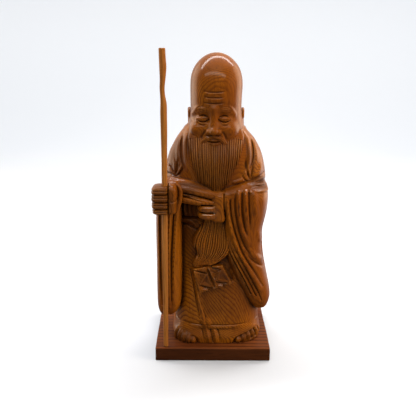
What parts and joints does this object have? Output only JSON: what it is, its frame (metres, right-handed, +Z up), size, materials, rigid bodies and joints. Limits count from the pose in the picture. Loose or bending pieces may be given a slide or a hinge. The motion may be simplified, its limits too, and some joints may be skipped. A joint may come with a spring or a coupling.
{
  "type": "shou lao figure",
  "caption": "Carved wooden figure of a bearded, high-browed old sage in long-sleeved robes, holding a crooked staff, on a rectangular plinth.",
  "frame": {"origin": "centre of the plinth's flat underside, where the object rests", "axes": "+Z up, along the object's height; -Y towards the front, the way the figure faces; +X towards the figure's left hand"},
  "size_m": [0.1551, 0.1584, 0.4058],
  "materials": {
    "plinth_wood": "satin varnish, dark red-brown",
    "figure_wood": "satin varnish, warm brown, darker in the recesses",
    "staff_wood": "satin varnish, lighter brown, straight grain"
  },
  "bodies": {
    "root": {"plinth": "plinth_wood", "figure": "figure_wood", "staff": "staff_wood"}
  },
  "joints": []
}
